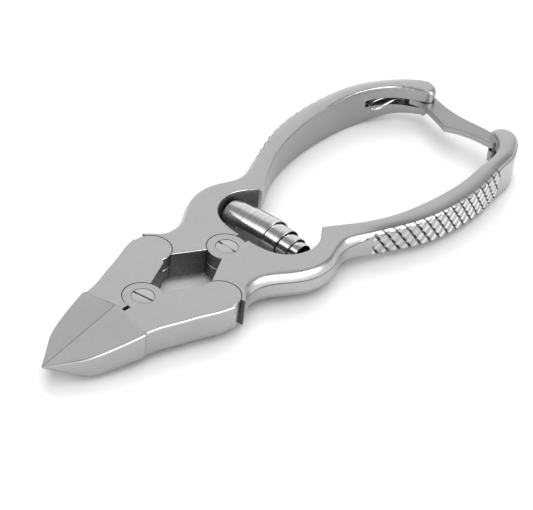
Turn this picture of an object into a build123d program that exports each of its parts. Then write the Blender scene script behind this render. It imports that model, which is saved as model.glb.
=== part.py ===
"""Double-action nail nipper, closed and latched, lying flat. Millimetres, +Z up.

The blades point along -Y and the handles along +Y. Left is -X, right is +X.
Plan sizes are taken from the jaw pivot's axis and heights from the middle plane,
which is what TOOL gives. Two pieces that share a pivot are halved: one keeps a disc
above the middle plane, the other a disc below it, and each has a pocket for the other.
"""
import os

from build123d import *

# Overall, measured from the jaw pivot along Y
TIP_Y = -31.0
END_Y = 119.8
HALF_REACH = 40.0        # more than half the tool's width
HALF_T = 3.6             # half thickness of jaws and joints
GRIP_HALF_T = 5.5        # half thickness of the grips' ends
RISE_START_Y = 50.0      # the handles thicken from here
RISE_END_Y = 98.0        # to here
LIFT_START_Y = 104.0     # the undersides of the two ends rise from here
LEFT_LIFT = 3.0
RIGHT_LIFT = 1.9

# The four-pivot linkage is a rhombus: jaw pivot at 0, 0
HANDLE_PIVOT_Y = 28.0
SIDE_X = 11.2
SIDE_Y = HANDLE_PIVOT_Y / 2

# Halved joints
DISC_R = 4.85
POCKET_R = 5.0
LAP = 0.03               # each lap face stands this far off the middle plane
SHANK_R = 1.75           # the two slotted screws
BORE_R = 1.80
HEAD_R = 2.75
HEAD_SEAT_R = 2.80
HEAD_T = 1.3
FLUSH = 0.05             # screws stop this far short of the faces
SLOT_W = 0.5
SLOT_DEPTH = 0.7
SIDE_PIN_R = 1.6
SIDE_PIN_TOP = 2.5       # the side pins end blind inside the jaws' discs
SIDE_BORE_R = 1.65
SIDE_BORE_TOP = 2.6

# Blades
GRIND_RUN = (0.955, -0.297)  # direction of the line where the ground top starts, right half
GRIND_START = 0.4        # that line starts this far behind the notch's front
BLADE_ROOT_Z = HALF_T
BLADE_TIP_Z = 0.25
BLADE_TIP_X = 0.35       # half width of the two tips together
BELLY_Y = -22.5          # the underside starts to rise to the tip here
SEAM_GAP = 0.03
NOTCH_X = 1.0
NOTCH_Y = -6.9
SEAM_ROOT_X = -1.9

# Barrel spring between the handles
SPRING_Y = 44.0
SPRING_Z = -0.6
STUD_R = 1.1
STUD_IN = 10.9           # studs reach in to this x
STUD_OUT = 15.6
STUD_CHAMFER = 0.3
SPRING_WALL = 0.35

# Latch
LATCH_X = -13.2
LATCH_Y = 114.6
LATCH_Z = 0.9
LATCH_T = 1.7
LATCH_PIN_R = 1.0
LATCH_BORE_R = 1.05
LATCH_SLOT_T = 2.1
CATCH_SLOT_R = 31.3      # the catch slot's wall, about the latch pivot
CATCH_PIN_X = 15.7
CATCH_PIN_Y = 112.75
CATCH_PIN_R = 0.6
LATCH_PIN_LOW = -3.3
CATCH_PIN_LOW = -4.3
BLIND_TOP = 3.4          # the latch pin and catch pin end blind under the top face
WIRE_R = 0.35            # latch spring wire
BOW_R = 1.4
BOW_SWEEP = 184
INNER_LEG = 6.0

# Turn of the screws' slots from X, in degrees
JAW_SCREW_TURN = 11
HANDLE_SCREW_TURN = 2

JAW_PIVOT_Y = -(TIP_Y + END_Y) / 2
TOOL = Plane((0, JAW_PIVOT_Y, GRIP_HALF_T))
SPRING_CENTRE = (0, JAW_PIVOT_Y + SPRING_Y, GRIP_HALF_T + SPRING_Z)
SIDE_VIEW = Plane((0, JAW_PIVOT_Y, GRIP_HALF_T), x_dir=(0, 1, 0), z_dir=(1, 0, 0))
LEFT = -1
RIGHT = 1

# Plan curves of the right half, as (x, y); the left half mirrors them
HANDLE_OUTER = [
    (16.7, 16.5), (14.4, 20.6), (14.2, 25.2), (17.1, 31.0), (19.7, 35.8), (20.5, 40.2),
    (19.6, 45.5), (17.9, 51.0), (18.7, 55.2), (20.9, 61.2), (24.4, 70.0), (26.3, 79.0),
    (26.7, 87.0), (26.0, 96.0), (24.3, 104.5),
]
HANDLE_INNER = [
    (9.8, 51.3), (12.6, 56.0), (15.4, 60.8), (18.4, 67.8), (20.4, 76.0), (21.4, 84.0),
    (21.6, 91.5), (20.8, 100.0),
]
SPRING_RECESS = [(1.6, 33.8), (6.2, 34.1), (10.6, 36.1), (13.2, 40.0), (13.5, 45.2), (9.8, 51.3)]
BLADE_OUTER = [
    (BLADE_TIP_X, TIP_Y), (3.4, -26.7), (5.8, -23.2), (7.7, -18.4), (9.2, -13.2), (10.2, -9.2),
]
JAW_OUTER = [(9.8, -8.5), (10.4, -5.4), (12.1, -0.4), (14.0, 5.2), (15.9, 10.2), (16.6, 13.2)]


def across(points, side):
    """The points on one side of the centre line."""
    return [(side * x, y) for x, y in points]


def disc(centre, radius, low, high, mode=Mode.ADD):
    """A disc or a round pocket about a pivot, between two heights."""
    with BuildSketch(TOOL.offset(low)) as round_face:
        with Locations(centre):
            Circle(radius)
    extrude(round_face.sketch, amount=high - low, mode=mode)


def halved_joint(centre, disc_on_top):
    """One piece's half of a joint: a pocket for the other piece and its own disc."""
    if disc_on_top:
        disc(centre, POCKET_R, -GRIP_HALF_T, LAP, Mode.SUBTRACT)
        disc(centre, DISC_R, LAP, HALF_T)
    else:
        disc(centre, POCKET_R, -LAP, GRIP_HALF_T, Mode.SUBTRACT)
        disc(centre, DISC_R, -HALF_T, -LAP)


def screw_seat(centre):
    """A through bore with a flat seat for a screw's head."""
    disc(centre, BORE_R, -GRIP_HALF_T, GRIP_HALF_T, Mode.SUBTRACT)
    disc(centre, HEAD_SEAT_R, HALF_T - FLUSH - HEAD_T, GRIP_HALF_T, Mode.SUBTRACT)


def handle_blank(side, end_outer, end_inner, lift):
    """A handle's outline, thickened towards the grip. The two end curves meet in a corner."""
    with BuildSketch(TOOL.offset(-GRIP_HALF_T)) as plan:
        with BuildLine():
            Spline(across(HANDLE_OUTER, side) + end_outer)
            Spline([end_outer[-1]] + end_inner + across(HANDLE_INNER, side)[::-1])
            Spline(across(SPRING_RECESS, side)[::-1])
            Polyline(across([(1.6, 33.8), (2.3, 23.7), (6.6, 15.8), (15.6, 16.4), (16.7, 16.5)], side))
        make_face()
    extrude(plan.sketch, amount=2 * GRIP_HALF_T)
    with BuildSketch(SIDE_VIEW) as profile:
        with BuildLine():
            Polyline(
                (0, HALF_T), (RISE_START_Y, HALF_T), (RISE_END_Y, GRIP_HALF_T), (END_Y, GRIP_HALF_T),
                (END_Y, lift - GRIP_HALF_T), (LIFT_START_Y, -GRIP_HALF_T),
                (RISE_END_Y, -GRIP_HALF_T), (RISE_START_Y, -HALF_T), (0, -HALF_T), close=True,
            )
        make_face()
    extrude(profile.sketch, amount=HALF_REACH, both=True, mode=Mode.INTERSECT)


def jaw_blank(side, seam, joint_line):
    """A jaw and its blade in plan, with the blade's ground top and rising underside."""
    with BuildSketch(TOOL.offset(-HALF_T)) as plan:
        with BuildLine():
            Spline(across(BLADE_OUTER, side))
            Line(across([BLADE_OUTER[-1], JAW_OUTER[0]], side))
            Spline(across(JAW_OUTER, side))
            Polyline(across([JAW_OUTER[-1], (16.0, 13.7), (6.5, 13.0), (5.5, 12.2), (2.1, 4.5)], side))
            Polyline([(2.1 * side, 4.5)] + joint_line + seam + [(BLADE_TIP_X * side, TIP_Y)])
        make_face()
    extrude(plan.sketch, amount=2 * HALF_T)
    # the ground face leaves the top along a line that slants forward and outward
    root_run = Vector(GRIND_RUN[0] * side, GRIND_RUN[1], 0)
    root_y = NOTCH_Y + GRIND_START
    to_tip = Vector(0, TIP_Y - NOTCH_Y + GRIND_START, BLADE_TIP_Z - BLADE_ROOT_Z)
    grind = Plane(TOOL.from_local_coords(Vector(SEAM_ROOT_X / 2, root_y, BLADE_ROOT_Z)),
                  x_dir=root_run, z_dir=root_run.cross(to_tip) * -side)
    split(bisect_by=grind, keep=Keep.BOTTOM)
    # the belly rises to the tip
    rise = Vector(0, BELLY_Y - TIP_Y, BLADE_TIP_Z - HALF_T)
    belly = Plane(TOOL.from_local_coords(Vector(0, BELLY_Y, -HALF_T)),
                  x_dir=(1, 0, 0), z_dir=Vector(1, 0, 0).cross(rise) * -1)
    split(bisect_by=belly, keep=Keep.BOTTOM)


def blind_hole(centre, radius, top):
    """A hole from the underside that ends below the top face."""
    disc(centre, radius, -2 * GRIP_HALF_T, top, Mode.SUBTRACT)


def stud_plane(side):
    """The plane of a spring stud's outer end, facing the spring."""
    end = Vector(side * STUD_OUT, 0, 0) + Vector(*SPRING_CENTRE)
    return Plane(end, x_dir=(0, 1, 0), z_dir=(-side, 0, 0))


def stud_hole(side):
    """The hole for a spring stud in the wall of the spring recess."""
    with BuildSketch(stud_plane(side)) as stud_face:
        Circle(STUD_R)
    extrude(stud_face.sketch, amount=STUD_OUT - STUD_IN, mode=Mode.SUBTRACT)


JAW_PIVOT = (0, 0)
HANDLE_PIVOT = (0, HANDLE_PIVOT_Y)

# ---------------------------------------------------------------- handles
with BuildPart() as left_handle:
    handle_blank(
        LEFT,
        [(-22.3, 109.1), (-18.9, 114.3), (-15.3, 118.0), (-12.0, END_Y), (-9.6, 119.0), (-8.3, 117.4),
         (-8.3, 116.0), (-9.3, 114.8)],
        [(-12.4, 113.0), (-15.7, 110.4), (-18.2, 106.9)],
        LEFT_LIFT,
    )
    halved_joint(HANDLE_PIVOT, disc_on_top=False)
    halved_joint((-SIDE_X, SIDE_Y), disc_on_top=False)
    disc(HANDLE_PIVOT, BORE_R, -GRIP_HALF_T, GRIP_HALF_T, Mode.SUBTRACT)
    disc((-SIDE_X, SIDE_Y), SIDE_PIN_R, -GRIP_HALF_T, GRIP_HALF_T, Mode.SUBTRACT)
    stud_hole(LEFT)
    # slot for the latch and its spring, open to the inside and at the end
    with BuildSketch(TOOL.offset(LATCH_Z - LATCH_SLOT_T / 2)):
        with BuildLine():
            Polyline((-18.0, 101.6), (-20.5, 102.2), (-20.7, 103.6), (-20.7, 105.8), (-20.0, 108.8),
                     (-18.1, 111.8), (-18.1, 123.0), (0, 123.0), (0, 101.6), close=True)
        make_face()
    extrude(amount=LATCH_SLOT_T, mode=Mode.SUBTRACT)
    blind_hole((LATCH_X, LATCH_Y), LATCH_PIN_R, BLIND_TOP)
left_handle.part.label = "left_handle"

with BuildPart() as right_handle:
    handle_blank(
        RIGHT,
        [(23.2, 110.6), (21.2, 114.6), (19.2, 117.2), (17.0, 118.4), (14.8, 118.1), (13.0, 116.7),
         (12.5, 115.1), (13.4, 113.5)],
        [(15.8, 112.4), (17.6, 110.8), (18.8, 107.6), (20.0, 103.8)],
        RIGHT_LIFT,
    )
    halved_joint(HANDLE_PIVOT, disc_on_top=True)
    halved_joint((SIDE_X, SIDE_Y), disc_on_top=False)
    screw_seat(HANDLE_PIVOT)
    disc((SIDE_X, SIDE_Y), SIDE_PIN_R, -GRIP_HALF_T, GRIP_HALF_T, Mode.SUBTRACT)
    stud_hole(RIGHT)
    # slot for the latch's tip, open to the inside and at the end
    with BuildSketch(TOOL.offset(LATCH_Z - LATCH_SLOT_T / 2)):
        with Locations((LATCH_X, LATCH_Y)):
            Circle(CATCH_SLOT_R)
        with BuildLine(mode=Mode.PRIVATE) as reach:
            Polyline((0, 110.4), (20, 110.4), (20, 116.6), (16.6, 116.6), (16.6, 121.5),
                     (3.4, 121.5), (0, 116.6), close=True)
        add(make_face(reach.edges(), mode=Mode.PRIVATE), mode=Mode.INTERSECT)
    extrude(amount=LATCH_SLOT_T, mode=Mode.SUBTRACT)
    blind_hole((CATCH_PIN_X, CATCH_PIN_Y), CATCH_PIN_R, BLIND_TOP)
right_handle.part.label = "right_handle"

# ---------------------------------------------------------------- jaws
with BuildPart() as left_jaw:
    jaw_blank(
        LEFT,
        [(SEAM_ROOT_X - SEAM_GAP, NOTCH_Y + SEAM_GAP), (-SEAM_GAP, TIP_Y)],
        [(0, -4.95), (0, NOTCH_Y + SEAM_GAP)],
    )
    halved_joint(JAW_PIVOT, disc_on_top=False)
    halved_joint((-SIDE_X, SIDE_Y), disc_on_top=True)
    disc(JAW_PIVOT, BORE_R, -GRIP_HALF_T, GRIP_HALF_T, Mode.SUBTRACT)
    blind_hole((-SIDE_X, SIDE_Y), SIDE_BORE_R, SIDE_BORE_TOP)
left_jaw.part.label = "left_jaw"

with BuildPart() as right_jaw:
    jaw_blank(
        RIGHT,
        [(SEAM_ROOT_X + SEAM_GAP, NOTCH_Y - SEAM_GAP), (SEAM_GAP, TIP_Y)],
        [(NOTCH_X, -4.9), (NOTCH_X, NOTCH_Y - SEAM_GAP)],
    )
    halved_joint(JAW_PIVOT, disc_on_top=True)
    halved_joint((SIDE_X, SIDE_Y), disc_on_top=True)
    screw_seat(JAW_PIVOT)
    blind_hole((SIDE_X, SIDE_Y), SIDE_BORE_R, SIDE_BORE_TOP)
right_jaw.part.label = "right_jaw"


# ---------------------------------------------------------------- pivots
def slotted_screw(centre, slot_turn):
    """A flat-headed screw whose shank fills both halves of a joint."""
    top = HALF_T - FLUSH
    disc(centre, SHANK_R, -top, top)
    disc(centre, HEAD_R, top - HEAD_T, top)
    with BuildSketch(TOOL.offset(top - SLOT_DEPTH)) as slot:
        with Locations(centre):
            Rectangle(2 * HEAD_R + 1, SLOT_W, rotation=slot_turn)
    extrude(slot.sketch, amount=SLOT_DEPTH, mode=Mode.SUBTRACT)


with BuildPart() as jaw_pivot_screw:
    slotted_screw(JAW_PIVOT, JAW_SCREW_TURN)
jaw_pivot_screw.part.label = "jaw_pivot_screw"

with BuildPart() as handle_pivot_screw:
    slotted_screw(HANDLE_PIVOT, HANDLE_SCREW_TURN)
handle_pivot_screw.part.label = "handle_pivot_screw"

with BuildPart() as left_side_pin:
    disc((-SIDE_X, SIDE_Y), SIDE_PIN_R, -HALF_T, SIDE_PIN_TOP)
left_side_pin.part.label = "left_side_pin"

with BuildPart() as right_side_pin:
    disc((SIDE_X, SIDE_Y), SIDE_PIN_R, -HALF_T, SIDE_PIN_TOP)
right_side_pin.part.label = "right_side_pin"

# ---------------------------------------------------------------- barrel spring
# Strip wound into nested sleeves, each narrower and further out; (x, radius) of the steps
SPRING_STEPS = [
    (-12.6, 2.6), (-12.0, 3.0), (-11.2, 3.4), (-10.0, 3.8), (-6.5, 4.2), (1.3, 3.66),
    (5.4, 3.02), (8.4, 2.42), (12.9, 2.42),
]


def inside(x):
    """Where the sleeve's inner wall steps, for an outer step at x."""
    if x in (SPRING_STEPS[0][0], SPRING_STEPS[-1][0]):
        return x
    return x + SPRING_WALL if x < 0 else x - SPRING_WALL


with BuildPart() as barrel_spring:
    with BuildSketch(Plane(SPRING_CENTRE)):
        with BuildLine():
            outer = []
            inner = []
            for (start, radius), (stop, _) in zip(SPRING_STEPS, SPRING_STEPS[1:]):
                outer += [(start, radius), (stop, radius)]
                inner += [(inside(start), radius - SPRING_WALL), (inside(stop), radius - SPRING_WALL)]
            inner.reverse()
            Polyline(outer + inner, close=True)
        make_face()
    revolve(axis=Axis(SPRING_CENTRE, (1, 0, 0)))
barrel_spring.part.label = "barrel_spring"


def spring_stud(side):
    """A stud in the handle that keeps the spring's end in place."""
    with BuildSketch(stud_plane(side)) as stud_face:
        Circle(STUD_R)
    extrude(stud_face.sketch, amount=STUD_OUT - STUD_IN)
    chamfer(edges().filter_by(GeomType.CIRCLE).sort_by(Axis.X)[0 if side == RIGHT else -1], STUD_CHAMFER)


with BuildPart() as left_spring_stud:
    spring_stud(LEFT)
left_spring_stud.part.label = "left_spring_stud"

with BuildPart() as right_spring_stud:
    spring_stud(RIGHT)
right_spring_stud.part.label = "right_spring_stud"

# ---------------------------------------------------------------- latch
with BuildPart() as latch:
    with BuildSketch(TOOL.offset(LATCH_Z - LATCH_T / 2)):
        with BuildLine():
            Spline((-13.2, 112.0), (-7.6, 113.4), (-3.6, 112.1), (0.9, 110.3))
            Spline((0.9, 110.3), (4.4, 112.1), (9.4, 113.4), (14.4, 114.1), (16.1, 114.8))
            Spline((16.1, 114.8), (14.6, 116.7), (8.7, 117.9), (2.4, 117.3), (-4.6, 117.8),
                   (-10.6, 119.5))
            Spline((-10.6, 119.5), (-13.6, 118.6), (-15.8, 114.6), (-13.2, 112.0))
        make_face()
    extrude(amount=LATCH_T)
    disc((LATCH_X, LATCH_Y), LATCH_BORE_R, -GRIP_HALF_T, GRIP_HALF_T, Mode.SUBTRACT)
latch.part.label = "latch"

with BuildPart() as latch_pivot_pin:
    disc((LATCH_X, LATCH_Y), LATCH_PIN_R, LATCH_PIN_LOW, BLIND_TOP)
latch_pivot_pin.part.label = "latch_pivot_pin"

with BuildPart() as latch_catch_pin:
    disc((CATCH_PIN_X, CATCH_PIN_Y), CATCH_PIN_R, CATCH_PIN_LOW, BLIND_TOP)
latch_catch_pin.part.label = "latch_catch_pin"

# Hairpin of round wire: a bow at the front and two legs back to the latch's heel
with BuildPart() as latch_spring:
    with BuildLine(TOOL.offset(LATCH_Z)) as hairpin:
        outer_leg = Line((-18.0, 110.9), (-19.7, 105.4))
        bow = JernArc(start=outer_leg @ 1, tangent=outer_leg % 1, radius=BOW_R, arc_size=BOW_SWEEP)
        Line(bow @ 1, bow @ 1 + (bow % 1) * INNER_LEG)
    with BuildSketch(Plane(outer_leg @ 0, z_dir=outer_leg % 0)):
        Circle(WIRE_R)
    sweep(path=hairpin.line)
latch_spring.part.label = "latch_spring"

os.makedirs("parts", exist_ok=True)
for piece in (
    left_handle, right_handle, left_jaw, right_jaw, jaw_pivot_screw, handle_pivot_screw,
    left_side_pin, right_side_pin, barrel_spring, left_spring_stud, right_spring_stud,
    latch, latch_pivot_pin, latch_catch_pin, latch_spring,
):
    export_step(piece.part, f"parts/{piece.part.label}.step")
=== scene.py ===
"""Looks of the double-action nail nipper: forged satin steel, knurled grips, barrel spring.

Shapes are worked out in millimetres, in plan from the jaw pivot's axis and in height from
the middle plane, and mm() puts them in the frame. Left is -X, right is +X.
"""
import math

import bmesh
import bpy
import numpy as np
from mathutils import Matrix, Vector


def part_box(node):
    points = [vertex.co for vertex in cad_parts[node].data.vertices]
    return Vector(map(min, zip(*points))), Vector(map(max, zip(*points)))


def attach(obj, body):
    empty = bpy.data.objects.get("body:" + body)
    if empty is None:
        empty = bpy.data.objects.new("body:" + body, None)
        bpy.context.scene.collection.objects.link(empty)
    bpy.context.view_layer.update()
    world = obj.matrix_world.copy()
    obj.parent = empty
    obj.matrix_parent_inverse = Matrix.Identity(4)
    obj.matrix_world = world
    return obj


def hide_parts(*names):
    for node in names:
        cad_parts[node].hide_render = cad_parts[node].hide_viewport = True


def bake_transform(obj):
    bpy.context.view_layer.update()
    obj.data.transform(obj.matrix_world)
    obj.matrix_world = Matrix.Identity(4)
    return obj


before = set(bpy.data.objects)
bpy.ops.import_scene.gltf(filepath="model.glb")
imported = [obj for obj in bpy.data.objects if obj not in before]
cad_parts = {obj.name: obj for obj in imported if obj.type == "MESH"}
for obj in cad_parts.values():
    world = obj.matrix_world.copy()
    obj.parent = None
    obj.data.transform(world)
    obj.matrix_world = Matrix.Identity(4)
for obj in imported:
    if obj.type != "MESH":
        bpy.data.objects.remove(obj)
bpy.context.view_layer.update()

screw_low, screw_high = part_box("jaw_pivot_screw")
PIVOT = np.array([(a + b) / 2 for a, b in zip(screw_low, screw_high)])

# ---------------------------------------------------------------- driving sizes, mm
TIP_Y = -31.0
HALF_T = 3.6
GRIP_HALF_T = 5.5
RISE_START_Y = 50.0
RISE_END_Y = 98.0
HANDLE_PIVOT = (0.0, 28.0)
SIDE_X = 11.2
SIDE_Y = 14.0
DISC_R = 4.85
DISC_CHAMFER = 0.09
POCKET_R = 5.0
LAP = 0.03
HEAD_R = 2.75
HEAD_SEAT_R = 2.8
BORE_R = 1.8
SIDE_PIN_R = 1.6
NOTCH_Y = -6.9
SEAM_ROOT_X = -1.9
SEAM_GAP = 0.03
BELLY_Y = -22.5
TIP_HALF_T = 0.25
SPRING_Y = 44.0
LATCH_PIVOT = (-13.2, 114.6)
LATCH_HALF_T = 0.85
SLOT_HALF_T = 1.05
LATCH_Z = 0.9
CATCH_SLOT_R = 31.3
LEFT = -1
RIGHT = 1

HANDLE_OUTER = [
    (16.7, 16.5), (14.4, 20.6), (14.2, 25.2), (17.1, 31.0), (19.7, 35.8), (20.5, 40.2),
    (19.6, 45.5), (17.9, 51.0), (18.7, 55.2), (20.9, 61.2), (24.4, 70.0), (26.3, 79.0),
    (26.7, 87.0), (26.0, 96.0), (24.3, 104.5),
]
HANDLE_INNER = [
    (9.8, 51.3), (12.6, 56.0), (15.4, 60.8), (18.4, 67.8), (20.4, 76.0), (21.4, 84.0),
    (21.6, 91.5), (20.8, 100.0),
]
SPRING_RECESS = [(1.6, 33.8), (6.2, 34.1), (10.6, 36.1), (13.2, 40.0), (13.5, 45.2), (9.8, 51.3)]
BLADE_OUTER = [
    (0.35, TIP_Y), (3.4, -26.7), (5.8, -23.2), (7.7, -18.4), (9.2, -13.2), (10.2, -9.2),
]
JAW_OUTER = [(9.8, -8.5), (10.4, -5.4), (12.1, -0.4), (14.0, 5.2), (15.9, 10.2), (16.6, 13.2)]
LEFT_END_OUTER = [
    (22.3, 109.1), (18.9, 114.3), (15.3, 118.0), (12.0, 119.7), (9.6, 119.0), (8.3, 117.4),
    (8.3, 116.0), (9.3, 114.8),
]
LEFT_END_INNER = [(18.2, 106.9), (15.7, 110.4), (12.4, 113.0), (9.3, 114.8)]
RIGHT_END_OUTER = [
    (23.2, 110.6), (21.2, 114.6), (19.2, 117.2), (17.0, 118.4), (14.8, 118.1), (13.0, 116.7),
    (12.5, 115.1), (13.4, 113.5),
]
RIGHT_END_INNER = [(20.2, 105.2), (19.1, 108.6), (17.5, 111.1), (15.6, 112.5), (13.4, 113.5)]


def mm(points):
    """Millimetres from the jaw pivot to metres in the frame."""
    return np.asarray(points, float) / 1000 + PIVOT


# ---------------------------------------------------------------- curves
def spline(points, step=0.05):
    """Dense points on the natural cubic spline through some points, spaced by chord."""
    p = np.array(points, float)
    t = np.concatenate([[0], np.cumsum(np.linalg.norm(np.diff(p, axis=0), axis=1))])
    n = len(p)
    h = np.diff(t)
    system = np.eye(n)
    right = np.zeros_like(p)
    for i in range(1, n - 1):
        system[i, i - 1:i + 2] = h[i - 1], 2 * (h[i - 1] + h[i]), h[i]
        right[i] = 6 * ((p[i + 1] - p[i]) / h[i] - (p[i] - p[i - 1]) / h[i - 1])
    bend = np.linalg.solve(system, right)
    u = np.linspace(0, t[-1], max(2, int(t[-1] / step)))
    k = np.clip(np.searchsorted(t, u, side="right") - 1, 0, n - 2)
    a = ((t[k + 1] - u) / h[k])[:, None]
    b = 1 - a
    curve = a * p[k] + b * p[k + 1]
    return curve + ((a**3 - a) * bend[k] + (b**3 - b) * bend[k + 1]) * (h[k]**2)[:, None] / 6


def between(curve, low, high):
    """The stretch of a dense curve between two Y values."""
    return curve[(curve[:, 1] >= low - 1e-6) & (curve[:, 1] <= high + 1e-6)]


def evenly(curve, count):
    """Count points, evenly spaced along a curve or a polyline."""
    c = np.array(curve, float)
    s = np.concatenate([[0], np.cumsum(np.linalg.norm(np.diff(c, axis=0), axis=1))])
    at = np.linspace(0, s[-1], count)
    return np.stack([np.interp(at, s, c[:, 0]), np.interp(at, s, c[:, 1])], 1)


def spans(*pairs):
    """Joins (inner, outer, count) stretches into two matched rows of points."""
    inner, outer = [], []
    for k, (inside, outside, count) in enumerate(pairs):
        skip = 1 if k else 0
        inner.append(evenly(inside, count)[skip:])
        outer.append(evenly(outside, count)[skip:])
    return np.concatenate(inner), np.concatenate(outer)


def inward(curve, other):
    """Unit normals of a curve that point to the other side of its ribbon."""
    along = np.gradient(curve, axis=0)
    along /= np.linalg.norm(along, axis=1)[:, None] + 1e-9
    normal = np.stack([-along[:, 1], along[:, 0]], 1)
    middle = len(curve) // 2
    if np.dot(normal[middle], other[middle] - curve[middle]) < 0:
        normal = -normal
    return normal


def ramp(values, low, high):
    """0 below low, 1 above high, smooth between."""
    t = np.clip((values - low) / (high - low), 0, 1)
    return t * t * (3 - 2 * t)


# ---------------------------------------------------------------- meshes
def new_object(name, points, faces):
    mesh = bpy.data.meshes.new(name)
    mesh.from_pydata([tuple(p) for p in points], [], [tuple(f) for f in faces])
    mesh.update()
    piece = bpy.data.objects.new(name, mesh)
    bpy.context.scene.collection.objects.link(piece)
    return piece


def loops_to_object(name, loops, closed_path=False):
    """A skin over cross-sections: loops is (sections, points, 3), each loop closed."""
    n, k, _ = loops.shape
    faces = []
    for i in range(n if closed_path else n - 1):
        here, there = i * k, ((i + 1) % n) * k
        for j in range(k):
            nxt = (j + 1) % k
            faces.append((here + j, here + nxt, there + nxt, there + j))
    if not closed_path:
        faces.append(tuple(range(k))[::-1])
        faces.append(tuple((n - 1) * k + j for j in range(k)))
    piece = new_object(name, loops.reshape(-1, 3), faces)
    face_out(piece)
    return piece


def face_out(piece):
    bm = bmesh.new()
    bm.from_mesh(piece.data)
    bmesh.ops.recalc_face_normals(bm, faces=bm.faces)
    bm.to_mesh(piece.data)
    bm.free()


def arc_steps(count):
    return np.linspace(0, math.pi / 2, count + 1)


def bevel_steps(count, last):
    """(across, up) points of an outer bevel, both from 0 to 1.

    It leaves the wall at 24 degrees and meets the top when it has turned by last degrees.
    """
    first, last = math.radians(24), math.radians(last)
    steps = []
    for angle in np.linspace(first, last, count + 1)[1:]:
        across = (math.cos(first) - math.cos(angle)) / (math.cos(first) - math.cos(last))
        up = (math.sin(angle) - math.sin(first)) / (math.sin(last) - math.sin(first))
        steps.append((across, up))
    return steps


def ribbon(name, inner, outer, top, bottom, inner_r, round_a, round_b, under_a=None, under_b=None,
           crown=None, carve=None, wall_rows=6, face_rows=10, turned=74, edge_line=0.0):
    """A forged bar between two plan curves, with rounded edges on both sides.

    top and bottom give heights at plan points. round_a and round_b are the outer edge's
    rounding, across and down; carve(points, heights) sinks the outer wall; edge_line is the
    height of the wall's top strip.
    """
    n = len(inner)
    width = np.linalg.norm(outer - inner, axis=1)
    one = np.ones(n)
    inner_r = np.minimum(inner_r * one, 0.4 * width)
    a_top = np.minimum(round_a * one, 0.45 * width)
    a_low = a_top if under_a is None else np.minimum(under_a * one, 0.45 * width)
    high = top(outer)
    low = bottom(outer)
    tall = high - low
    b_top = np.minimum(round_b * one, 0.42 * tall)
    b_low = b_top if under_b is None else np.minimum(under_b * one, 0.42 * tall)
    to_in = inward(outer, inner)
    to_out = inward(inner, outer)
    crown = 0 * one if crown is None else crown

    def row(plan, z):
        return np.column_stack([plan, z])

    def face_row(start, stop, u, height, sign):
        plan = start * (1 - u) + stop * u
        sink = crown * np.clip(0.65 - u, 0, 1) ** 2 + 0.35 * crown * np.clip(u - 0.65, 0, 1) ** 2
        return row(plan, height(plan) - sign * sink)

    rows = []
    wall = [(low + b_low) * (1 - u) + (high - b_top) * u for u in np.linspace(0, 1, wall_rows + 1)]
    if edge_line:
        wall.insert(-1, high - b_top - edge_line)
    for z in wall:
        sink = 0 if carve is None else carve(outer, z)
        rows.append(row(outer + to_in * (sink * one)[:, None], z))
    rim_sink = crown * 0.65 ** 2
    for across, up in bevel_steps(8, turned):
        plan = outer + to_in * (a_top * across)[:, None]
        z = top(plan) - rim_sink - b_top + b_top * up
        if carve is not None:
            z_sink = carve(outer, z) * (1 - up) ** 2
            plan = plan + to_in * z_sink[:, None]
        rows.append(row(plan, z))
    start = outer + to_in * a_top[:, None]
    stop = inner + to_out * inner_r[:, None]
    for u in np.linspace(0, 1, face_rows + 1)[1:-1]:
        rows.append(face_row(start, stop, u, top, 1))
    inner_sink = 0.35 * crown * 0.35 ** 2
    for angle in arc_steps(3)[::-1]:
        plan = inner + to_out * (inner_r * (1 - math.cos(angle)))[:, None]
        rows.append(row(plan, top(plan) - inner_sink - inner_r * (1 - math.sin(angle))))
    high_in = top(inner) - inner_sink - inner_r
    low_in = bottom(inner) + inner_sink + inner_r
    for u in np.linspace(0, 1, 7)[1:-1]:
        rows.append(row(inner, high_in * (1 - u) + low_in * u))
    for angle in arc_steps(3):
        plan = inner + to_out * (inner_r * (1 - math.cos(angle)))[:, None]
        rows.append(row(plan, bottom(plan) + inner_sink + inner_r * (1 - math.sin(angle))))
    start_low = outer + to_in * a_low[:, None]
    for u in np.linspace(1, 0, face_rows + 1)[1:-1]:
        rows.append(face_row(start_low, stop, u, bottom, -1))
    for across, up in bevel_steps(8, turned)[::-1]:
        plan = outer + to_in * (a_low * across)[:, None]
        z = bottom(plan) + rim_sink + b_low - b_low * up
        if carve is not None:
            z_sink = carve(outer, z) * (1 - up) ** 2
            plan = plan + to_in * z_sink[:, None]
        rows.append(row(plan, z))
    return loops_to_object(name, np.stack(rows, 1))


def ring_stack(name, rings):
    """A closed solid through (plan, height) rings of matched points, from the lowest up."""
    n = len(rings[0][0])
    last = len(rings) - 1
    points = np.concatenate([np.column_stack([plan, np.full(n, z)]) for plan, z in rings])
    faces = [tuple(range(n))[::-1], tuple(range(last * n, last * n + n))]
    for ring in range(last):
        for i in range(n):
            j = (i + 1) % n
            faces.append((ring * n + i, ring * n + j, ring * n + n + j, ring * n + n + i))
    piece = new_object(name, points, faces)
    face_out(piece)
    return piece


def prism(name, plan, low, high):
    """A closed prism, used to add to or cut from a piece."""
    plan = np.asarray(plan, float)
    return ring_stack(name, [(plan, low), (plan, high)])


def circle(centre, radius, count=180):
    turn = np.linspace(0, 2 * math.pi, count, endpoint=False)
    return np.column_stack([centre[0] + radius * np.cos(turn), centre[1] + radius * np.sin(turn)])


def combine(piece, operation, tool):
    """Adds or cuts a tool solid, then removes the tool."""
    change = piece.modifiers.new("shape", "BOOLEAN")
    change.operation = operation
    change.object = tool
    change.solver = "EXACT"
    settle(piece)
    bpy.data.objects.remove(tool)


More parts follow.
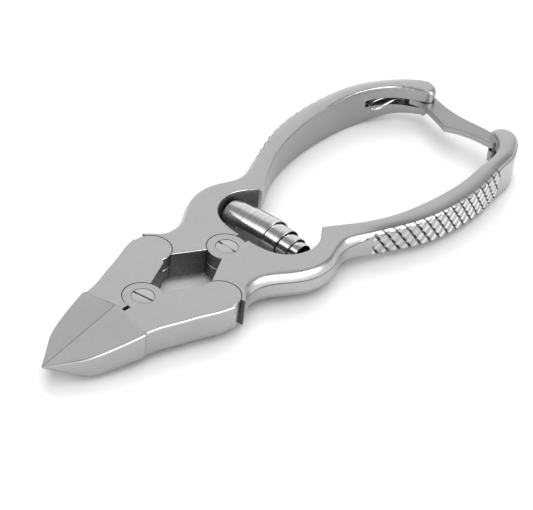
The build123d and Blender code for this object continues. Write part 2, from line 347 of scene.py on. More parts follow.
def settle(piece):
    """Applies a piece's modifiers."""
    graph = bpy.context.evaluated_depsgraph_get()
    result = bpy.data.meshes.new_from_object(piece.evaluated_get(graph))
    piece.modifiers.clear()
    piece.data = result


def halved_joint(piece, centre, disc_on_top):
    """Cuts the other piece's pocket and adds this piece's disc, a hair lower than the face."""
    if disc_on_top:
        combine(piece, "DIFFERENCE", prism("cut", circle(centre, POCKET_R), -9, LAP))
        combine(piece, "UNION", disc(centre, LAP + 0.003, HALF_T - 0.008))
    else:
        combine(piece, "DIFFERENCE", prism("cut", circle(centre, POCKET_R), -LAP, 9))
        combine(piece, "UNION", disc(centre, -HALF_T + 0.008, -LAP - 0.003))


def disc(centre, low, high):
    """A joint's disc with a small chamfer on its outer edge."""
    small = DISC_R - DISC_CHAMFER
    rings = [(small, low), (DISC_R, low + DISC_CHAMFER), (DISC_R, high - DISC_CHAMFER), (small, high)]
    return ring_stack("add", [(circle(centre, radius), z) for radius, z in rings])


def finish_piece(piece, body, material, replaced=(), crease=30, others=(), creases=()):
    """Shading, materials and ride of a finished piece; it hides the CAD parts that it replaces.

    others are (test, material), where test(centres, normals) picks faces; creases are plan
    lines, each as (point, point), along which the top is a crisp edge.
    """
    mesh = piece.data
    count = len(mesh.vertices)
    points = np.empty(count * 3)
    mesh.vertices.foreach_get("co", points)
    points = points.reshape(-1, 3)
    mesh.materials.clear()
    mesh.materials.append(material)
    chosen = np.zeros(len(mesh.polygons), np.int32)
    centres = np.empty(len(mesh.polygons) * 3)
    normals = np.empty(len(mesh.polygons) * 3)
    mesh.polygons.foreach_get("center", centres)
    mesh.polygons.foreach_get("normal", normals)
    for index, (test, other) in enumerate(others, 1):
        mesh.materials.append(other)
        chosen[test(centres.reshape(-1, 3), normals.reshape(-1, 3))] = index
    mesh.polygons.foreach_set("material_index", chosen)
    mesh.vertices.foreach_set("co", mm(points).ravel())
    mesh.update()
    mesh.shade_smooth()
    mesh.set_sharp_from_angle(angle=math.radians(crease))
    ends = np.empty(len(mesh.edges) * 2, np.int32)
    mesh.edges.foreach_get("vertices", ends)
    ends = ends.reshape(-1, 2)
    for start, stop in creases:
        start, stop = np.array(start, float), np.array(stop, float)
        run = (stop - start) / np.linalg.norm(stop - start)
        off = (points[:, :2] - start) @ np.array([-run[1], run[0]])
        along = (points[:, :2] - start) @ run
        near = (np.abs(off) < 0.02) & (along > -0.3) & (along < np.linalg.norm(stop - start) + 0.3)
        near &= points[:, 2] > HALF_T - 0.4
        sharp = mesh.attributes.get("sharp_edge")
        marks = np.empty(len(mesh.edges), bool)
        sharp.data.foreach_get("value", marks)
        marks |= near[ends[:, 0]] & near[ends[:, 1]]
        sharp.data.foreach_set("value", marks)
    even = piece.modifiers.new("even", "WEIGHTED_NORMAL")
    even.keep_sharp = True
    settle(piece)
    if body:
        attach(piece, body)
    if replaced:
        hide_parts(*replaced)


# ---------------------------------------------------------------- materials
def steel(name, color, roughness, grain=(900, 60, 900), grain_depth=0.12, speckle=0.06, specks=0.5):
    """Satin steel: fine stretched grain, matt speckle and slow shade changes."""
    material = bpy.data.materials.new(name)
    material.use_nodes = True
    nodes = material.node_tree.nodes
    links = material.node_tree.links
    shader = nodes["Principled BSDF"]
    shader.inputs["Metallic"].default_value = 1.0
    place = nodes.new("ShaderNodeTexCoord")
    grain_map = nodes.new("ShaderNodeMapping")
    grain_map.inputs["Scale"].default_value = grain
    links.new(place.outputs["Object"], grain_map.inputs["Vector"])
    lines = nodes.new("ShaderNodeTexNoise")
    lines.inputs["Scale"].default_value = 4.0
    lines.inputs["Detail"].default_value = 4.0
    links.new(grain_map.outputs["Vector"], lines.inputs["Vector"])
    dots = nodes.new("ShaderNodeTexNoise")
    dots.inputs["Scale"].default_value = 2600.0
    dots.inputs["Detail"].default_value = 2.0
    links.new(place.outputs["Object"], dots.inputs["Vector"])
    clouds = nodes.new("ShaderNodeTexNoise")
    clouds.inputs["Scale"].default_value = 60.0
    clouds.inputs["Detail"].default_value = 3.0
    links.new(place.outputs["Object"], clouds.inputs["Vector"])

    mixed = nodes.new("ShaderNodeMix")
    mixed.data_type = "FLOAT"
    mixed.inputs[0].default_value = specks
    links.new(lines.outputs["Fac"], mixed.inputs[2])
    links.new(dots.outputs["Fac"], mixed.inputs[3])

    shade = nodes.new("ShaderNodeMapRange")
    shade.inputs["From Min"].default_value = 0.3
    shade.inputs["From Max"].default_value = 0.7
    shade.inputs["To Min"].default_value = 1 - speckle
    shade.inputs["To Max"].default_value = 1 + speckle
    links.new(mixed.outputs[0], shade.inputs["Value"])
    base = nodes.new("ShaderNodeRGB")
    base.outputs[0].default_value = (*color, 1)
    scaled = nodes.new("ShaderNodeVectorMath")
    scaled.operation = "SCALE"
    links.new(base.outputs[0], scaled.inputs[0])
    links.new(shade.outputs["Result"], scaled.inputs["Scale"])
    links.new(scaled.outputs["Vector"], shader.inputs["Base Color"])

    rough = nodes.new("ShaderNodeMapRange")
    rough.inputs["From Min"].default_value = 0.3
    rough.inputs["From Max"].default_value = 0.7
    rough.inputs["To Min"].default_value = roughness * 0.88
    rough.inputs["To Max"].default_value = roughness * 1.14
    links.new(clouds.outputs["Fac"], rough.inputs["Value"])
    links.new(rough.outputs["Result"], shader.inputs["Roughness"])

    bump = nodes.new("ShaderNodeBump")
    bump.inputs["Strength"].default_value = grain_depth
    bump.inputs["Distance"].default_value = 0.00004
    links.new(mixed.outputs[0], bump.inputs["Height"])
    links.new(bump.outputs["Normal"], shader.inputs["Normal"])
    return material


satin = steel("handle_satin", (0.45, 0.45, 0.447), 0.31)
jaw_satin = steel("jaw_satin", (0.45, 0.45, 0.447), 0.31)
screw_satin = steel("screw_satin", (0.50, 0.50, 0.497), 0.28, speckle=0.05)
spring_bright = steel("spring_bright", (0.64, 0.64, 0.635), 0.22, grain=(1900, 40, 40),
                      grain_depth=0.4, speckle=0.2, specks=0.15)
# A dark copy of the spring steel: painted shade for the spring's turned-down flanks.
spring_painted_shade = steel("spring_painted_shade", (0.17, 0.17, 0.168), 0.3, grain=(1900, 40, 40), grain_depth=0.4,
                    speckle=0.2, specks=0.15)
latch_satin = steel("latch_satin", (0.35, 0.35, 0.347), 0.32)
pin_ground = steel("pin_ground", (0.42, 0.42, 0.417), 0.3)
wire_bright = steel("wire_bright", (0.60, 0.60, 0.597), 0.2, speckle=0.03)
# A darker steel with upright grain for the jaws' outer walls: the grain is real, the darkening is
# painted shade.
side_grain_painted_shade = steel("side_grain_painted_shade", (0.40, 0.40, 0.397), 0.33, grain=(60, 60, 900), grain_depth=0.18)
# A darker steel for the grips' inner walls: painted shade.
palm_painted_shade = steel("palm_painted_shade", (0.34, 0.34, 0.337), 0.34)
# A very dark steel, used as painted shade: faces inside joints, laps, slots and seams, faces deep in
# the knurl grooves, and the scribed line under the handles' bevel.
painted_shade_steel = steel("painted_shade_steel", (0.13, 0.13, 0.128), 0.5, grain=(300, 300, 300), grain_depth=0.5,
                   speckle=0.35)


# ---------------------------------------------------------------- handles
KNURL_START = 58.5
KNURL_END = 105.5
KNURL_PITCH = 3.0
KNURL_LEAN = 0.75
NARROW = 0.44            # half widths of the two sets of grooves
WIDE = 0.72
EDGE_LINE = 0.3


def half_height(plan):
    """Half the thickness of the handles at plan points."""
    rise = np.clip((plan[:, 1] - RISE_START_Y) / (RISE_END_Y - RISE_START_Y), 0, 1)
    return HALF_T + (GRIP_HALF_T - HALF_T) * rise


def knurl_phase(curve):
    """Distance along a grip's outer curve from the knurl's start."""
    along = np.concatenate([[0], np.cumsum(np.linalg.norm(np.diff(curve, axis=0), axis=1))])
    return along - along[np.argmax(curve[:, 1] > KNURL_START)]


def groove(phase, half_width):
    """1 in the middle of a V groove and 0 outside it."""
    off = np.abs((phase + KNURL_PITCH / 2) % KNURL_PITCH - KNURL_PITCH / 2)
    return np.clip(1 - off / half_width, 0, 1)


def knurl(plan, z):
    """Depth of the crossed grooves on a grip's outer wall."""
    s = knurl_phase(plan)
    fade = (s > 0) * (plan[:, 1] < KNURL_END) * (np.arange(len(s)) < np.argmax(plan[:, 1]))
    fade = fade * ramp(s, 0.0, 1.2) * (1 - ramp(plan[:, 1], KNURL_END - 3.0, KNURL_END))
    first = 0.5 * groove(s + KNURL_LEAN * z, NARROW)
    second = 0.6 * groove(s - KNURL_LEAN * z + 0.8, WIDE)
    return np.maximum(first, second) * fade


def knurl_shadow(side, end_outer):
    """Picks the faces deep in the narrow grooves, which get the very dark steel as painted shade."""
    outline = spline(HANDLE_OUTER + end_outer)
    outline = outline[:np.argmax(outline[:, 1])]
    distance = knurl_phase(outline)

    def test(centres, normals):
        y = centres[:, 1]
        edge = np.interp(y, outline[:, 1], outline[:, 0])
        s = np.interp(y, outline[:, 1], distance)
        near = (side * centres[:, 0] > edge - 0.9) & (y > KNURL_START + 0.6) & (y < KNURL_END - 1.6)
        upright = np.abs(normals[:, 2]) < 0.93
        deep = groove(s + KNURL_LEAN * centres[:, 2], NARROW) > 0.22
        return near & upright & deep
    return test


def bevel_drop(y):
    """How far the outer bevel comes down a handle's side."""
    return 0.3 + 1.7 * ramp(y, 16.5, 22.0) - 0.85 * ramp(y, 51.0, 60.0)


def bevel_line(side):
    """Picks the narrow shadow line under the bevel of the handles' front half."""
    def test(centres, normals):
        y = centres[:, 1]
        line = half_height(centres[:, :2]) - bevel_drop(y) - EDGE_LINE / 2
        outwards = (normals[:, 0] * side > 0.3) & (np.abs(centres[:, 2] - line) < EDGE_LINE / 2)
        return outwards & (y > 23.0) & (y < 57.5) & (side * centres[:, 0] > 13.9)
    return test


def handle(side, end_outer, end_inner, nose_tip, nose_reach, nose_drop, nose_rise):
    """nose_tip, nose_reach, nose_drop and nose_rise: how the end is rounded in height."""
    across = np.array([side, 1.0])
    outline = spline(HANDLE_OUTER + end_outer)
    inside = spline(HANDLE_INNER + end_inner)
    nose = np.argmax(outline[:, 1])
    recess = spline(SPRING_RECESS)
    body = outline[:nose + 1]
    grip_end = 104.0
    outer_end = outline[np.argmax(body[:, 1] > grip_end):]
    inner_end = inside[np.argmax(inside[:, 1] > 101.0):]
    inner, outer = spans(
        ([(6.6, 15.8), (2.3, 23.7)], between(body, 16.5, 24.5), 40),
        ([(2.3, 23.7), (1.6, 33.8)], between(body, 24.5, 32.6), 40),
        (recess, between(body, 32.6, 51.0), 110),
        (between(inside, 51.3, 57.5), between(body, 51.0, 58.0), 40),
        (between(inside, 57.5, 101.0), between(body, 58.0, grip_end), 420),
        (inner_end, outer_end, 110),
    )
    inner = inner * across
    outer = outer * across
    y = outer[:, 1]
    grown = ramp(y, 16.5, 22.0)
    grip = ramp(y, 51.0, 60.0)
    round_a = 0.25 + 1.2 * grown - 0.45 * grip
    round_b = bevel_drop(y)
    inner_r = 0.22 + 0.25 * grip
    crown = 1.0 * ramp(y, 50.0, 64.0)

    def rounding(plan, reach, power):
        near = np.clip(1 - np.linalg.norm(plan - nose_tip, axis=1) / reach, 0, 1)
        return 1 - (1 - near ** power) ** (1 / power)

    def top(plan):
        return half_height(plan) - nose_drop * rounding(plan, 5.0, 2.0)

    def bottom(plan):
        lift = ramp(-np.linalg.norm(plan - nose_tip, axis=1), -nose_reach, -2.0)
        return -half_height(plan) + nose_rise * lift + 0.8 * rounding(plan, 4.0, 2.0)

    end = ramp(np.arange(len(outer)), len(outer) - 90, len(outer) - 20)
    return ribbon(
        "handle", inner, outer, top, bottom, inner_r + 0.3 * end, round_a,
        round_b, crown=crown * (1 - 0.8 * end), carve=knurl, wall_rows=44, turned=78,
        edge_line=EDGE_LINE,
    )


def palm_faces(side):
    """The inner walls of a grip, given a darker steel than its top as painted shade."""
    def test(centres, normals):
        upright = np.abs(normals[:, 2]) < 0.75
        inwards = (normals[:, 0] * side < -0.3) | (normals[:, 1] < -0.75)
        return upright & inwards & (centres[:, 1] > 53.0)
    return test


def hidden_faces(centres, normals):
    """Faces of the handles inside the joints, laps and latch slot, which get the very dark steel as
    painted shade.
    """
    upright = np.abs(normals[:, 2]) < 0.5
    front = (centres[:, 1] < 17.0) & (normals[:, 1] < -0.7)
    wide = np.where(centres[:, 1] > 33.0, 13.9, 12.2)
    middle = (np.abs(centres[:, 0]) < wide) & (centres[:, 1] < 50.8)
    floor = (np.abs(normals[:, 2]) > 0.9) & (np.abs(centres[:, 2]) < 0.1)
    slot = (np.abs(normals[:, 2]) > 0.9) & (
        np.abs(np.abs(centres[:, 2] - LATCH_Z) - SLOT_HALF_T) < 0.02)
    slot &= centres[:, 1] > 108.0
    return (upright & (front | middle)) | floor | slot


def bored(piece, centre, radius, low=-9, high=9):
    combine(piece, "DIFFERENCE", prism("cut", circle(centre, radius, 96), low, high))


left_handle = handle(LEFT, LEFT_END_OUTER, LEFT_END_INNER, (-8.6, 117.0), 24.0, 0.35, 3.0)
left_handle.name = "left_handle_forging"
halved_joint(left_handle, HANDLE_PIVOT, disc_on_top=False)
halved_joint(left_handle, (-SIDE_X, SIDE_Y), disc_on_top=False)
bored(left_handle, HANDLE_PIVOT, BORE_R)
bored(left_handle, (-SIDE_X, SIDE_Y), SIDE_PIN_R)
left_slot = [
    (-18.0, 102.9), (-20.2, 102.9), (-20.5, 103.9), (-20.7, 105.8), (-20.0, 108.8), (-18.1, 111.8),
    (-18.1, 123.0), (0, 123.0), (0, 102.9),
]
combine(left_handle, "DIFFERENCE",
        prism("cut", left_slot, LATCH_Z - SLOT_HALF_T, LATCH_Z + SLOT_HALF_T))
finish_piece(left_handle, "left_handle", satin, ["left_handle"],
             others=[(palm_faces(LEFT), palm_painted_shade), (hidden_faces, painted_shade_steel),
                     (knurl_shadow(LEFT, LEFT_END_OUTER), painted_shade_steel),
                     (bevel_line(LEFT), painted_shade_steel)])

right_handle = handle(RIGHT, RIGHT_END_OUTER, RIGHT_END_INNER, (12.8, 115.8), 14.0, 0.25, 1.9)
right_handle.name = "right_handle_forging"
halved_joint(right_handle, HANDLE_PIVOT, disc_on_top=True)
halved_joint(right_handle, (SIDE_X, SIDE_Y), disc_on_top=False)
bored(right_handle, HANDLE_PIVOT, BORE_R)
bored(right_handle, HANDLE_PIVOT, HEAD_SEAT_R, low=HALF_T - 1.35)
bored(right_handle, (SIDE_X, SIDE_Y), SIDE_PIN_R)
reach = np.linspace(-0.16, 0.064, 40)
catch = [(LATCH_PIVOT[0] + CATCH_SLOT_R * math.cos(t), LATCH_PIVOT[1] + CATCH_SLOT_R * math.sin(t))
         for t in reach]
catch += [(16.6, 121.5), (3.4, 121.5), (0.0, 116.6), (0.0, 109.6)]
combine(right_handle, "DIFFERENCE",
        prism("cut", catch, LATCH_Z - SLOT_HALF_T, LATCH_Z + SLOT_HALF_T))
finish_piece(right_handle, "right_handle", satin, ["right_handle"],
             others=[(palm_faces(RIGHT), palm_painted_shade), (hidden_faces, painted_shade_steel),
                     (knurl_shadow(RIGHT, RIGHT_END_OUTER), painted_shade_steel),
                     (bevel_line(RIGHT), painted_shade_steel)])


# ---------------------------------------------------------------- jaws
BLADE_ROOT_Y = -9.9


def root_line(side, seam_root):
    """The slanted line where the blade's ground top leaves the jaw's top."""
    edge = spline(BLADE_OUTER)
    place = edge[np.argmin(np.abs(edge[:, 1] - BLADE_ROOT_Y))]
    return np.array(seam_root, float), np.array([side * place[0], place[1]])


def grind_height(line):
    """A plane from the root line down to the tip."""
    start, stop = line
    run = (stop - start) / np.linalg.norm(stop - start)
    forward = np.array([run[1], -run[0]])
    if forward[1] > 0:
        forward = -forward
    drop = (HALF_T - TIP_HALF_T) / np.dot(np.array([0, TIP_Y]) - start, forward)

    def height(plan):
        return HALF_T - drop * np.clip((plan - start) @ forward, 0, None)
    return height


def belly_height(plan):
    """The underside, a little full behind the tip, which curves up to it."""
    ahead = np.clip((BELLY_Y + 0.5 - plan[:, 1]) / (BELLY_Y + 0.5 - TIP_Y), 0, 1)
    fullness = ramp(plan[:, 1], -27.0, -21.0) * (1 - ramp(plan[:, 1], -19.0, -11.0))
    return -HALF_T - 0.45 * fullness + (HALF_T - TIP_HALF_T) * ahead ** 1.35


def jaw(side, seam, joint_line):
    across = np.array([side, 1.0])
    blade = spline(BLADE_OUTER) * across
    root = np.argmin(np.abs(blade[:, 1] - BLADE_ROOT_Y))
    flank = spline(JAW_OUTER) * across
    inner_front = np.array([(2.1, 4.5), (5.5, 12.2)]) * across
    inner_rear = np.array([(5.5, 12.2), (6.5, 13.0)]) * across
    joint_line = np.array(joint_line, float)
    short = np.array([seam[-1], np.array(seam[-1]) * 0.9 + joint_line[0] * 0.1])
    inner, outer = spans(
        (seam, blade[:root + 1], 170),
        (short, blade[root:], 10),
        ([short[-1], joint_line[0]], [blade[-1], flank[0]], 10),
        (joint_line[:2], between(flank, -8.5, -6.4), 12),
        ([joint_line[1], inner_front[0]], between(flank, -6.4, 4.2), 70),
        (inner_front, between(flank, 4.2, 12.0), 50),
        (inner_rear, between(flank, 12.0, 13.2), 10),
    )
    y = outer[:, 1]
    rear = ramp(y, 10.5, 13.2)
    tip = ramp(-y, -TIP_Y - 9.0, -TIP_Y)
    return ribbon(
        "jaw", inner, outer, grind_height(root_line(side, seam[-1])), belly_height, 0.02,
        0.34 - 0.2 * tip, 0.34 - 0.2 * tip,
        under_a=0.5 + 0.2 * rear - 0.3 * tip, under_b=0.6 + 2.0 * rear, wall_rows=8, face_rows=60,
    )


def jaw_side(side):
    """The outer walls of a jaw, which get a darker steel with upright grain; the darkening is painted
    shade.
    """
    def test(centres, normals):
        return (np.abs(normals[:, 2]) < 0.4) & (normals[:, 0] * side > 0.2)
    return test


# Picks a jaw's inner walls, lap floors and seam faces, which get the very dark steel as painted shade.
def jaw_inside(side):
    def test(centres, normals):
        upright = np.abs(normals[:, 2]) < 0.5
        faces_in = (normals[:, 0] * side < -0.2) | (normals[:, 1] > 0.8)
        floor = (np.abs(normals[:, 2]) > 0.9) & (np.abs(centres[:, 2]) < 0.1)
        seam = (normals[:, 2] > 0.2) & (normals[:, 2] < 0.97) & (normals[:, 0] * side < -0.2)
        seam &= centres[:, 1] < NOTCH_Y
        return (upright & faces_in & (centres[:, 1] > NOTCH_Y - 0.2)) | floor | seam
    return test


left_seam = [(-SEAM_GAP, TIP_Y), (SEAM_ROOT_X - SEAM_GAP, NOTCH_Y + SEAM_GAP)]
left_jaw = jaw(LEFT, left_seam, [(0, NOTCH_Y + SEAM_GAP), (0, -4.95)])
left_jaw.name = "left_jaw_forging"
halved_joint(left_jaw, (0, 0), disc_on_top=False)
halved_joint(left_jaw, (-SIDE_X, SIDE_Y), disc_on_top=True)
bored(left_jaw, (0, 0), BORE_R)
finish_piece(left_jaw, "left_jaw", jaw_satin, ["left_jaw"],
             others=[(jaw_side(LEFT), side_grain_painted_shade), (jaw_inside(LEFT), painted_shade_steel)],
             creases=[root_line(LEFT, left_seam[-1])])

right_seam = [(SEAM_GAP, TIP_Y), (SEAM_ROOT_X + SEAM_GAP, NOTCH_Y - SEAM_GAP)]
right_jaw = jaw(RIGHT, right_seam, [(1.0, NOTCH_Y - SEAM_GAP), (1.0, -4.9)])
right_jaw.name = "right_jaw_forging"
halved_joint(right_jaw, (0, 0), disc_on_top=True)
halved_joint(right_jaw, (SIDE_X, SIDE_Y), disc_on_top=True)
bored(right_jaw, (0, 0), BORE_R)
bored(right_jaw, (0, 0), HEAD_SEAT_R, low=HALF_T - 1.35)
finish_piece(right_jaw, "right_jaw", jaw_satin, ["right_jaw"],
             others=[(jaw_side(RIGHT), side_grain_painted_shade), (jaw_inside(RIGHT), painted_shade_steel)],
             creases=[root_line(RIGHT, right_seam[-1])])

# ---------------------------------------------------------------- barrel spring
STRIP_T = 0.3
STRIP_W = 7.8
# the strip's turns: turn, radius, middle of the strip in x
STRIP = np.array([
    (-3.0, 3.1, -9.0), (-2.0, 3.45, -8.65), (-1.0, 3.7, -7.95), (0.0, 3.95, -6.5),
    (1.0, 4.2, -2.6), (2.0, 3.66, 1.5), (3.0, 3.02, 4.5), (4.0, 2.42, 6.6), (4.7, 2.0, 8.0),
])


def spring_offset(x):
    """How far the spring's middle is off its axis, in y and z."""
    return (np.interp(x, [-13, -7, 0, 13], [-0.6, -0.35, 0, 0]),
            np.interp(x, [-13, -7, 0, 13], [-1.2, -0.95, -0.6, -0.5]))


def lower_flanks(centres, normals):
    """The sides of the spring that are turned down, which get the dark copy of its steel as painted
    shade.
    """
    return (np.abs(normals[:, 1]) > 0.5) & (normals[:, 2] < 0.0)


def barrel_spring():
    """One flat strip wound into a barrel, each turn tucked under its neighbour."""
    turns = np.arange(STRIP[0, 0], STRIP[-1, 0], 1 / 110)
    across = np.linspace(-0.5, 0.5, 13)
    edge = 0.06
    section = [(u, 0.0) for u in across] + [(u, -1.0) for u in across[::-1]]
    loops = []
    for turn in turns:
        radius = np.interp(turn, STRIP[:, 0], STRIP[:, 1])
        middle = np.interp(turn, STRIP[:, 0], STRIP[:, 2])
        angle = math.pi / 2 - 2 * math.pi * turn
        loop = []
        for u, depth in section:
            x = middle + u * STRIP_W
            corner = edge if abs(u) > 0.499 else 0.0
            r = radius + depth * STRIP_T + (corner if depth else -corner)
            dy, dz = spring_offset(x)
            loop.append((x, SPRING_Y + dy + r * math.cos(angle), dz + r * math.sin(angle)))
        loops.append(loop)
    piece = loops_to_object("barrel_spring_strip", np.array(loops))
    # The turned-down flanks get a dark copy of the spring steel: painted shade.
    finish_piece(piece, None, spring_bright, crease=40,
                 others=[(lower_flanks, spring_painted_shade)])
    return piece


spring = barrel_spring()
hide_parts("barrel_spring")
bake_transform(spring)


# ---------------------------------------------------------------- latch and its hairpin
def bevelled(name, plan, low, high, bevel):
    """A plate with a small bevel around both faces."""
    plan = np.asarray(plan, float)
    along = np.roll(plan, -1, axis=0) - np.roll(plan, 1, axis=0)
    along /= np.linalg.norm(along, axis=1)[:, None] + 1e-9
    normal = np.stack([along[:, 1], -along[:, 0]], 1)
    area = np.sum(plan[:, 0] * np.roll(plan[:, 1], -1) - plan[:, 1] * np.roll(plan[:, 0], -1))
    if area < 0:
        normal = -normal
    rings = [(bevel, low), (0.0, low + bevel), (0.0, high - bevel), (bevel, high)]
    return ring_stack(name, [(plan - normal * inset, z) for inset, z in rings])


LATCH_SIDES = (
    ((-13.2, 113.1), (-10.6, 113.9), (-7.6, 113.4), (-3.6, 112.1), (0.9, 110.3)),
    ((0.9, 110.3), (4.4, 112.1), (9.4, 113.4), (14.4, 114.1), (16.1, 114.8)),
    ((16.1, 114.8), (14.6, 116.7), (8.7, 117.9), (2.4, 117.3), (-4.6, 117.8), (-10.6, 119.5)),
    ((-10.6, 119.5), (-13.6, 118.6), (-15.6, 115.9), (-15.1, 113.8), (-13.2, 113.1)),
)
outline = np.concatenate([spline(side, 0.2)[:-1] for side in LATCH_SIDES])
latch = bevelled("latch_plate", outline, LATCH_Z - LATCH_HALF_T, LATCH_Z + LATCH_HALF_T, 0.12)
bored(latch, LATCH_PIVOT, 1.05)
finish_piece(latch, "latch", latch_satin, ["latch"])

WIRE_R = 0.36
WIRE_PATH = (
    (-16.2, 112.6), (-16.5, 109.6), (-16.85, 106.4), (-16.95, 105.2), (-17.35, 104.1),
    (-18.2, 103.6), (-19.1, 103.9), (-19.65, 104.9), (-19.75, 106.2), (-19.1, 108.6),
    (-18.1, 111.3),
)


def hairpin():
    path = spline(WIRE_PATH, 0.12)
    along = np.gradient(path, axis=0)
    along /= np.linalg.norm(along, axis=1)[:, None]
    side = np.stack([-along[:, 1], along[:, 0]], 1)
    lift = LATCH_Z - 0.75 * np.clip(1 - np.linalg.norm(path - (-18.2, 104.0), axis=1) / 6, 0, 1)
    ends = np.minimum(np.arange(len(path)), np.arange(len(path))[::-1])
    radius = WIRE_R * np.clip(0.55 + 0.15 * ends, 0, 1)
    loops = []
    for turn in np.linspace(0, 2 * math.pi, 20, endpoint=False):
        flat = path + side * (radius * math.cos(turn))[:, None]
        loops.append(np.column_stack([flat, lift + radius * math.sin(turn)]))
    piece = loops_to_object("latch_hairpin", np.stack(loops, 1))
    finish_piece(piece, "left_handle", wire_bright, ["latch_spring"], crease=50)


hairpin()


# ---------------------------------------------------------------- pivot screws
def screw(name, body, centre, turn, slot_floor):
    """A flush slotted screw; slot_floor is (distance along the slot, height) points."""
    profile = [
        (0.0, -3.5), (1.5, -3.5), (1.73, -3.3), (1.73, HALF_T - 1.3), (2.7, HALF_T - 1.3),
        (2.74, HALF_T - 1.2), (2.74, HALF_T - 0.17), (2.70, HALF_T - 0.09), (2.6, HALF_T - 0.05),
        (0.0, HALF_T - 0.05),
    ]
    n = 128
    points = [(centre[0], centre[1], profile[0][1])]
    for radius, z in profile[1:-1]:
        points += [(x, y, z) for x, y in circle(centre, radius, n)]
    points.append((centre[0], centre[1], profile[-1][1]))
    faces = []
    rings = len(profile) - 2
    last = len(points) - 1
    for i in range(n):
        j = (i + 1) % n
        faces.append((0, 1 + j, 1 + i))
        for ring in range(rings - 1):
            base = 1 + ring * n
            faces.append((base + i, base + j, base + n + j, base + n + i))
        faces.append((1 + (rings - 1) * n + i, 1 + (rings - 1) * n + j, last))
    piece = new_object(name, points, faces)
    face_out(piece)
    along = np.array([math.cos(turn), math.sin(turn)])
    side = np.array([-along[1], along[0]])
    loops = []
    for s, floor in slot_floor:
        spot = np.array(centre) + along * s
        loops.append([
            (*(spot + side * 0.27), floor), (*(spot - side * 0.27), floor),
            (*(spot - side * 0.27), 5.0), (*(spot + side * 0.27), 5.0),
        ])
    combine(piece, "DIFFERENCE", loops_to_object("cut", np.array(loops)))
    finish_piece(piece, body, screw_satin, [name.replace("_head", "")])


FULL_SLOT = [(-3.2, 2.85), (-1.5, 2.95), (0.0, 3.0), (1.5, 2.95), (3.2, 2.85)]
END_SLOT = [
    (-3.2, 2.75), (-1.9, 3.05), (-1.5, 3.42), (0, 3.46), (1.3, 3.42), (1.7, 3.05), (3.2, 2.75),
]
screw("jaw_pivot_screw_head", "right_jaw", (0, 0), math.radians(11), FULL_SLOT)
screw("handle_pivot_screw_head", "right_handle", HANDLE_PIVOT, math.radians(2), END_SLOT)

# ---------------------------------------------------------------- pins
def pin(name, body, centre, radius, low, high, replaced, material):
    """A ground pin with rounded rims, seen flush at its lower end."""
    rings = [(radius - 0.12, low), (radius - 0.03, low + 0.04), (radius, low + 0.13),
             (radius, high - 0.1), (radius - 0.1, high)]
    piece = ring_stack(name, [(circle(centre, r, 64), z) for r, z in rings])
    finish_piece(piece, body, material, [replaced], crease=35)


pin("latch_pivot_rivet", "left_handle", LATCH_PIVOT, 1.0, -2.7, 3.4, "latch_pivot_pin", pin_ground)
# The catch rivet gets the very dark steel as painted shade, since it sits deep in the catch slot.
pin("latch_catch_rivet", "right_handle", (15.7, 112.75), 0.6, -3.5, 3.4, "latch_catch_pin", painted_shade_steel)

# ---------------------------------------------------------------- kept CAD pieces
for node, material in (
    ("left_side_pin", pin_ground), ("right_side_pin", pin_ground),
    ("left_spring_stud", pin_ground), ("right_spring_stud", pin_ground),
):
    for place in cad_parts[node].material_slots:
        place.material = material

# ---------------------------------------------------------------- camera
CAMERA_TURN = math.radians(38.09)
CAMERA_TILT = math.radians(38.05)
CAMERA_ROLL = math.radians(7.06)
CAMERA_PLACE = np.array([252.6, -278.8, 313.5])
CAMERA_LENS = 143.93


def add_camera():
    camera = bpy.data.objects.new("camera", bpy.data.cameras.new("camera"))
    camera.data.lens = CAMERA_LENS
    camera.data.sensor_width = 36
    camera.data.clip_start = 0.01
    camera.location = mm(CAMERA_PLACE)
    back = Vector((math.sin(CAMERA_TURN) * math.cos(CAMERA_TILT),
                   -math.cos(CAMERA_TURN) * math.cos(CAMERA_TILT), math.sin(CAMERA_TILT)))
    level = back.to_track_quat("Z", "Y")
    camera.rotation_mode = "QUATERNION"
    camera.rotation_quaternion = level
    camera.rotation_mode = "XYZ"
    camera.rotation_euler.rotate_axis("Z", CAMERA_ROLL)
    bpy.context.scene.collection.objects.link(camera)
    bpy.context.scene.camera = camera


# ---------------------------------------------------------------- studio
SKY_BASE = 0.36
SKY = (
    # towards, brightness, where it starts and is full (cosines)
    ((-0.49, 0.62, 0.62), 0.71, 0.72, 0.98),
    ((0.0, 0.0, -1.0), 0.8, -0.38, -0.12),
    ((0.1, -0.97, 0.18), 1.3, 0.74, 0.93),
    ((0.1, 0.25, 0.96), -0.10, 0.80, 0.97),
    ((0.1, 0.6, 0.8), -0.22, 0.92, 0.985),
    ((-0.5, -0.83, 0.25), 1.2, 0.84, 0.95),
    ((0.87, -0.46, 0.2), 1.25, 0.90, 0.98),
)


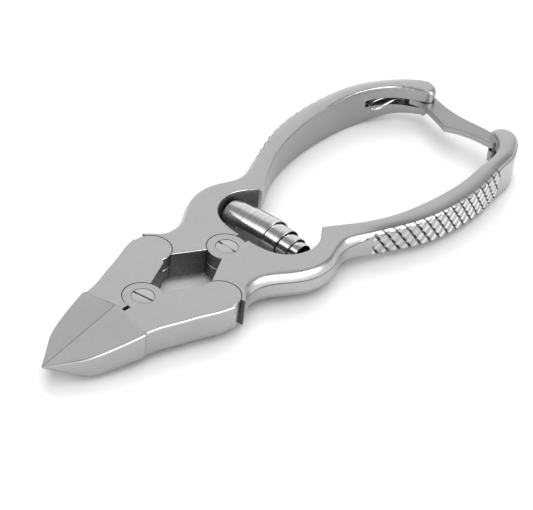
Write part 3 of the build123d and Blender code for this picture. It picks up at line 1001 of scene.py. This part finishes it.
def add_sky():
    """A pale studio: an even surround with soft bright panels at the back and at the right."""
    world = bpy.data.worlds.new("studio")
    bpy.context.scene.world = world
    world.use_nodes = True
    nodes = world.node_tree.nodes
    links = world.node_tree.links
    out = nodes["Background"]
    place = nodes.new("ShaderNodeTexCoord")
    total = None
    for towards, bright, start, full in SKY:
        dot = nodes.new("ShaderNodeVectorMath")
        dot.operation = "DOT_PRODUCT"
        dot.inputs[1].default_value = Vector(towards).normalized()
        links.new(place.outputs["Generated"], dot.inputs[0])
        panel = nodes.new("ShaderNodeMapRange")
        panel.interpolation_type = "SMOOTHSTEP"
        panel.inputs["From Min"].default_value = start
        panel.inputs["From Max"].default_value = full
        panel.inputs["To Max"].default_value = bright
        links.new(dot.outputs["Value"], panel.inputs["Value"])
        add = nodes.new("ShaderNodeMath")
        add.inputs[0].default_value = SKY_BASE
        if total:
            links.new(total, add.inputs[0])
        links.new(panel.outputs["Result"], add.inputs[1])
        total = add.outputs[0]
    links.new(total, out.inputs["Color"])


def add_lamp(name, place, size, radiance, mirrored):
    """A square soft box that faces the object: one is mirrored in the steel or lights the paper."""
    light = bpy.data.lights.new(name, "AREA")
    light.shape = "SQUARE"
    light.size = size
    light.energy = radiance * 4 * size * size
    lamp = bpy.data.objects.new(name, light)
    lamp.location = place
    lamp.rotation_euler = Vector(place).to_track_quat("Z", "Y").to_euler()
    lamp.visible_glossy = mirrored
    lamp.visible_diffuse = not mirrored
    bpy.context.scene.collection.objects.link(lamp)


def add_studio():
    add_sky()
    add_lamp("right_box", (0.84, 0.16, 0.68), 0.85, 4.2, mirrored=True)
    add_lamp("back_lamp", (-0.45, 0.55, 0.8), 1.0, 2.0, mirrored=False)
    add_lamp("fill_lamp", (0.3, -0.2, 1.1), 1.3, 1.35, mirrored=False)
    floor = new_object("floor", [(-3, -3, 0), (3, -3, 0), (3, 3, 0), (-3, 3, 0)], [(0, 1, 2, 3)])
    paper = bpy.data.materials.new("paper")
    paper.use_nodes = True
    shader = paper.node_tree.nodes["Principled BSDF"]
    shader.inputs["Base Color"].default_value = (0.8, 0.8, 0.8, 1)
    shader.inputs["Roughness"].default_value = 0.9
    shader.inputs["Specular IOR Level"].default_value = 0.0
    floor.data.materials.append(paper)


add_camera()
add_studio()
bpy.context.scene.view_settings.view_transform = "Standard"
